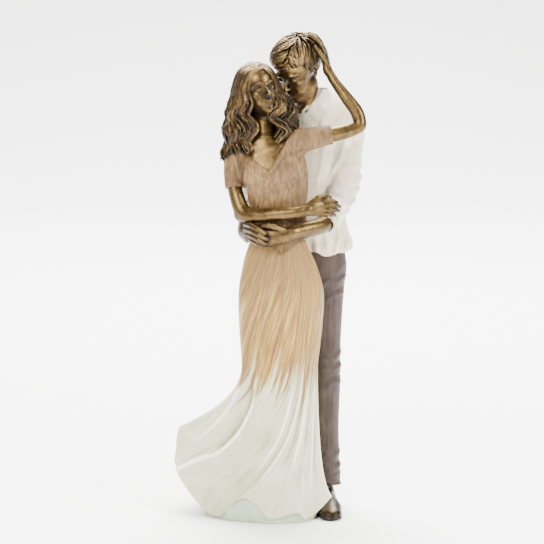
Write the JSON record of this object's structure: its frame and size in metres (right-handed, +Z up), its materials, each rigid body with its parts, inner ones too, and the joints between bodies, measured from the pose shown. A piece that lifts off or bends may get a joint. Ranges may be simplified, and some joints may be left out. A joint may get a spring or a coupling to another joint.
{
  "type": "courting couple figurine",
  "caption": "Cast resin couple: a woman in a long swept gown leans back on the man who embraces her from behind; stands on the solid foot under the gown.",
  "frame": {"origin": "on the standing surface, under the centre of the figurine's bounding box", "axes": "+Z up, -Y towards the woman's front, +X to the right of someone who faces her"},
  "size_m": [0.1164, 0.0788, 0.2902],
  "materials": {
    "painted_resin": "hand-painted matt ivory resin",
    "antique_bronze_paint": "satin antique bronze paint rubbed to gold on the raised forms, dark brown in the hollows",
    "gown_paint": "matt golden beige brushed over cream in fine streaks, fading to off-white",
    "shirt_paint": "matt warm off-white with a thin grey wash in the folds",
    "trouser_paint": "matt taupe brown, dry-brushed lighter on the raised folds"
  },
  "bodies": {
    "root": {"courting_couple": "painted_resin"}
  },
  "joints": []
}
